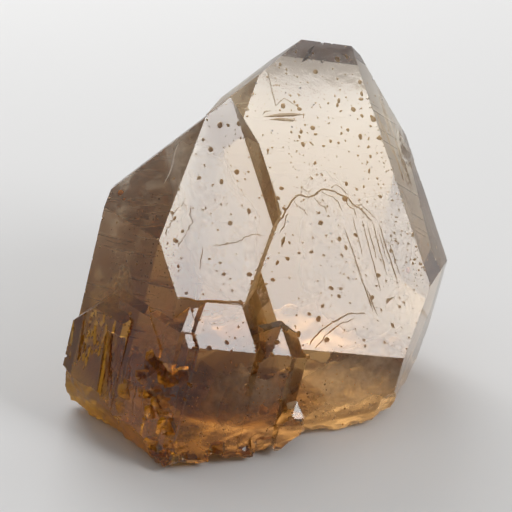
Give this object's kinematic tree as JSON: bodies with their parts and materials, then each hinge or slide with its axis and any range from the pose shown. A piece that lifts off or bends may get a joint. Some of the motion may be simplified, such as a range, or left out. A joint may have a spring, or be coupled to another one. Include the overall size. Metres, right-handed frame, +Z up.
{
  "type": "citrine crystal point",
  "caption": "Free-standing smoky citrine crystal point: a large six-sided quartz termination with smaller parallel crystals grown on its foot, resting on a flat broken base.",
  "frame": {"origin": "middle of the bounding box on the surface that the broken base rests on", "axes": "+Z up as it stands; -Y is the front, which the big bright tip face and the smaller crystals look towards; +X to the right seen from the front. The crystal axis leans about 14 degrees to the right."},
  "size_m": [0.1306, 0.1116, 0.1129],
  "materials": {
    "citrine": "clear smoky amber crystal, glossy natural faces, colour deepest at the lower left and almost none at the tip"
  },
  "bodies": {
    "root": {"citrine_crystal": "citrine"}
  },
  "joints": []
}
